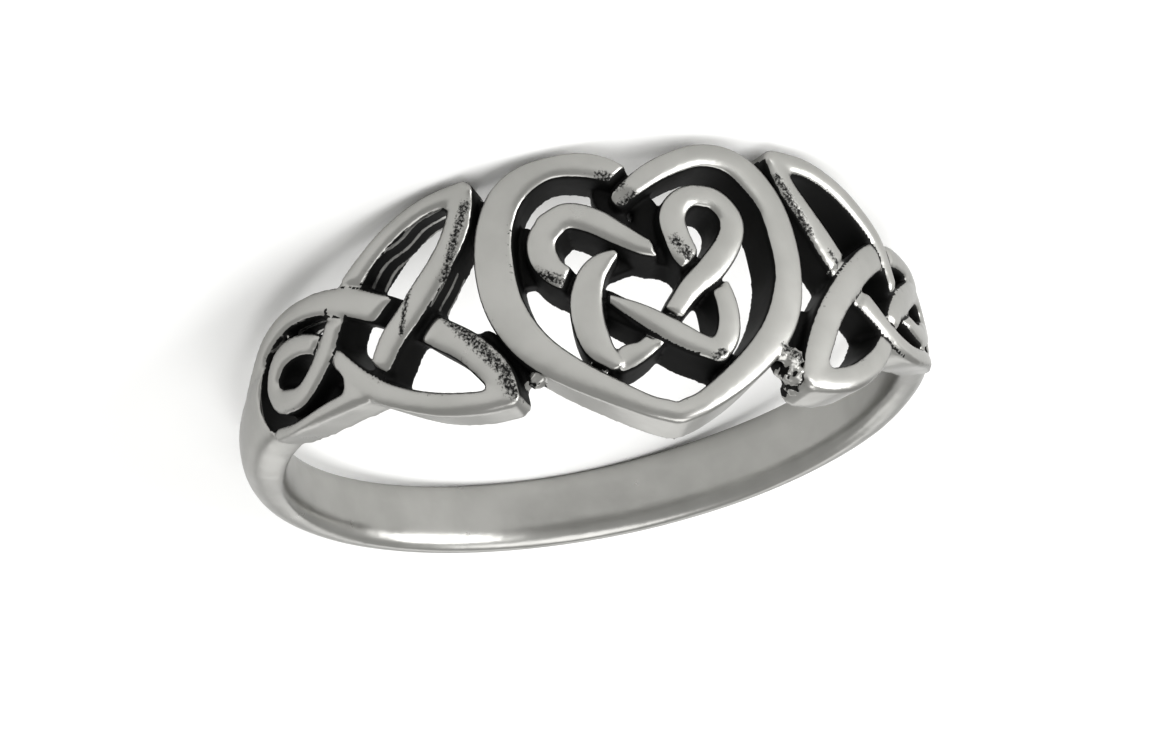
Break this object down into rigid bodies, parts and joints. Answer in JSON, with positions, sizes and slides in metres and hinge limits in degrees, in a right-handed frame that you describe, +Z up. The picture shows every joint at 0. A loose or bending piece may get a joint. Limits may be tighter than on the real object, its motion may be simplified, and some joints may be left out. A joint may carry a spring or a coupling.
{
  "type": "celtic knot ring",
  "caption": "Openwork cast silver finger ring: a heart frame round an interlaced love knot, trinity knots on the shoulders and a plain half-round band.",
  "frame": {"origin": "on the floor, under the middle of the lying ring's bounding box", "axes": "+Z up from the floor; the ring lies on the two lobes of its heart and on the back edge of its band, with the heart towards -Y and the back of the band towards +Y; the ring's own axis leans 8 degrees from +Z towards +Y"},
  "size_m": [0.0198, 0.0198, 0.0079],
  "materials": {
    "silver": "polished cast silver, blackened in the recesses"
  },
  "bodies": {
    "root": {"knot_ring": "silver"}
  },
  "joints": []
}
